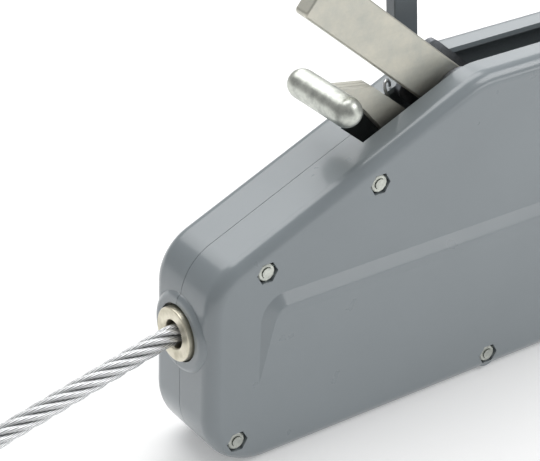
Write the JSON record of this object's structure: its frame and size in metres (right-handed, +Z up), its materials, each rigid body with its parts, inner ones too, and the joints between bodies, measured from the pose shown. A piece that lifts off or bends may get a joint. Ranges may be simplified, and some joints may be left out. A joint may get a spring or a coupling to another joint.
{
  "type": "wire rope puller",
  "caption": "Hand-operated wire rope puller: two-part pressed casing, working lever, reverse lever, release lever with T grip, jaw carriages, anchor hook and steel rope with load hook.",
  "frame": {"origin": "on the flat underside of the casing, half way along it, where the near casing half meets the joint line", "axes": "+X runs from the rope outlet nose to the anchor end, +Z up, +Y to the side of the reverse lever"},
  "size_m": [1.1669, 0.161, 0.2845],
  "materials": {
    "casing_paint": "smooth gloss grey enamel",
    "dark_paint": "dark grey enamel, slightly worn",
    "lever_zinc": "galvanised, slightly yellow, brushed",
    "bright_zinc": "bright zinc plate",
    "bush_zinc": "turned and zinc plated",
    "inner_steel": "bare oiled steel",
    "forged_steel": "forged, painted grey",
    "spring_steel": "drawn wire",
    "rope_wire": "bright galvanised wire"
  },
  "bodies": {
    "casing": {"casing_near": "casing_paint", "casing_far": "casing_paint", "rope_bush_nose": "bush_zinc", "rope_bush_rear": "bush_zinc", "casing_screw_1": "bright_zinc", "casing_nut_1": "bright_zinc", "casing_screw_2": "bright_zinc", "casing_nut_2": "bright_zinc", "casing_screw_3": "bright_zinc", "casing_nut_3": "bright_zinc", "casing_screw_4": "bright_zinc", "casing_nut_4": "bright_zinc", "casing_screw_5": "bright_zinc", "casing_nut_5": "bright_zinc", "casing_screw_6": "bright_zinc", "casing_nut_6": "bright_zinc", "casing_screw_7": "bright_zinc", "casing_nut_7": "bright_zinc", "casing_screw_8": "bright_zinc", "casing_nut_8": "bright_zinc", "crank_shaft": "inner_steel", "rope_in_casing": "rope_wire", "release_pivot_pin": "inner_steel", "anchor_pin": "bright_zinc", "anchor_pin_clip": "spring_steel", "rope_run": "rope_wire", "rope_hank": "rope_wire", "rope_end": "rope_wire", "rope_ferrule": "bright_zinc", "rope_thimble": "bright_zinc", "rope_hook_pin": "inner_steel"},
    "forward_crank": {"forward_lever": "lever_zinc", "crank_cheek_near": "inner_steel", "crank_cheek_far": "inner_steel", "shear_pin_1": "bright_zinc", "shear_pin_2": "bright_zinc"},
    "front_carriage": {"front_drawbar": "inner_steel", "front_jaw_housing": "inner_steel", "front_lower_jaw": "inner_steel", "front_jaw_spring": "spring_steel"},
    "front_jaw": {"front_upper_jaw": "inner_steel"},
    "rear_carriage": {"rear_drawbar": "inner_steel", "rear_jaw_housing": "inner_steel", "rear_lower_jaw": "inner_steel", "rear_jaw_spring": "spring_steel"},
    "rear_jaw": {"rear_upper_jaw": "inner_steel"},
    "reverse_crank": {"reverse_lever": "dark_paint", "reverse_shaft": "bright_zinc", "reverse_arm": "inner_steel"},
    "release_lever": {"release_grip": "bright_zinc", "release_plate_1": "lever_zinc", "release_plate_2": "lever_zinc", "release_plate_3": "lever_zinc"},
    "release_link": {"release_bar": "inner_steel"},
    "anchor_strap": {"anchor_fork": "dark_paint"},
    "anchor_hook_body": {"anchor_hook": "forged_steel", "anchor_hook_nut": "bright_zinc"},
    "anchor_latch": {"anchor_hook_latch": "bright_zinc"},
    "load_hook": {"rope_hook": "forged_steel"},
    "load_latch": {"rope_hook_latch": "bright_zinc"}
  },
  "joints": [
    {"name": "forward_lever_swing", "type": "hinge", "parent": "casing", "child": "forward_crank", "pos_m": [-0.0186, 0, 0.128], "axis": [0, 1, 0], "range_deg": [0, 75]},
    {"name": "front_carriage_slide", "type": "slide", "parent": "casing", "child": "front_carriage", "axis": [1, 0, 0], "range_m": [-0.04, 0]},
    {"name": "rear_carriage_slide", "type": "slide", "parent": "casing", "child": "rear_carriage", "axis": [1, 0, 0], "range_m": [0, 0.04]},
    {"name": "reverse_lever_swing", "type": "hinge", "parent": "casing", "child": "reverse_crank", "pos_m": [-0.079, 0.034, 0.145], "axis": [0, 1, 0], "range_deg": [0, 50]},
    {"name": "release_lever_press", "type": "hinge", "parent": "casing", "child": "release_lever", "pos_m": [-0.092, 0, 0.148], "axis": [0, -1, 0], "range_deg": [0, 14], "stiffness_Nm_per_rad": 2, "springref_deg": -11.46},
    {"name": "release_bar_slide", "type": "slide", "parent": "casing", "child": "release_link", "axis": [1, 0, 0], "range_m": [0, 0.0088]},
    {"name": "front_jaw_lift", "type": "slide", "parent": "front_carriage", "child": "front_jaw", "axis": [0, 0, 1], "range_m": [0, 0.0012], "deforming": ["front_jaw_spring"]},
    {"name": "rear_jaw_lift", "type": "slide", "parent": "rear_carriage", "child": "rear_jaw", "axis": [0, 0, 1], "range_m": [0, 0.0012], "deforming": ["rear_jaw_spring"]},
    {"name": "anchor_fork_pitch", "type": "hinge", "parent": "casing", "child": "anchor_strap", "pos_m": [0.22, 0, 0.058], "axis": [0, 1, 0], "range_deg": [-15, 25]},
    {"name": "anchor_hook_swivel", "type": "hinge", "parent": "anchor_strap", "child": "anchor_hook_body", "pos_m": [0.22, 0, 0.058], "axis": [0.9848, 0, -0.1736], "continuous": true},
    {"name": "anchor_latch_open", "type": "hinge", "parent": "anchor_hook_body", "child": "anchor_latch", "pos_m": [0.32642, 0, 0.05396], "axis": [0, 1, 0], "range_deg": [0, 40], "stiffness_Nm_per_rad": 0.05, "springref_deg": -20.05},
    {"name": "load_hook_swing", "type": "hinge", "parent": "casing", "child": "load_hook", "pos_m": [-0.5683, 0.0915, 0.0786], "axis": [0, 0, 1], "range_deg": [-25, 25]},
    {"name": "load_latch_open", "type": "hinge", "parent": "load_hook", "child": "load_latch", "pos_m": [-0.5348, 0.106, 0.0786], "axis": [0, 0, -1], "range_deg": [0, 40], "stiffness_Nm_per_rad": 0.05, "springref_deg": -20.05}
  ],
  "couplings": [
    {"joint": "front_carriage_slide", "follows": "forward_lever_swing", "m_per_rad": -0.0305},
    {"joint": "rear_carriage_slide", "follows": "forward_lever_swing", "m_per_rad": 0.0305},
    {"joint": "reverse_lever_swing", "follows": "forward_lever_swing", "ratio": 0.664},
    {"joint": "release_bar_slide", "follows": "release_lever_press", "m_per_rad": 0.036},
    {"joint": "front_jaw_lift", "follows": "release_lever_press", "m_per_rad": 0.0049},
    {"joint": "rear_jaw_lift", "follows": "release_lever_press", "m_per_rad": 0.0049}
  ]
}
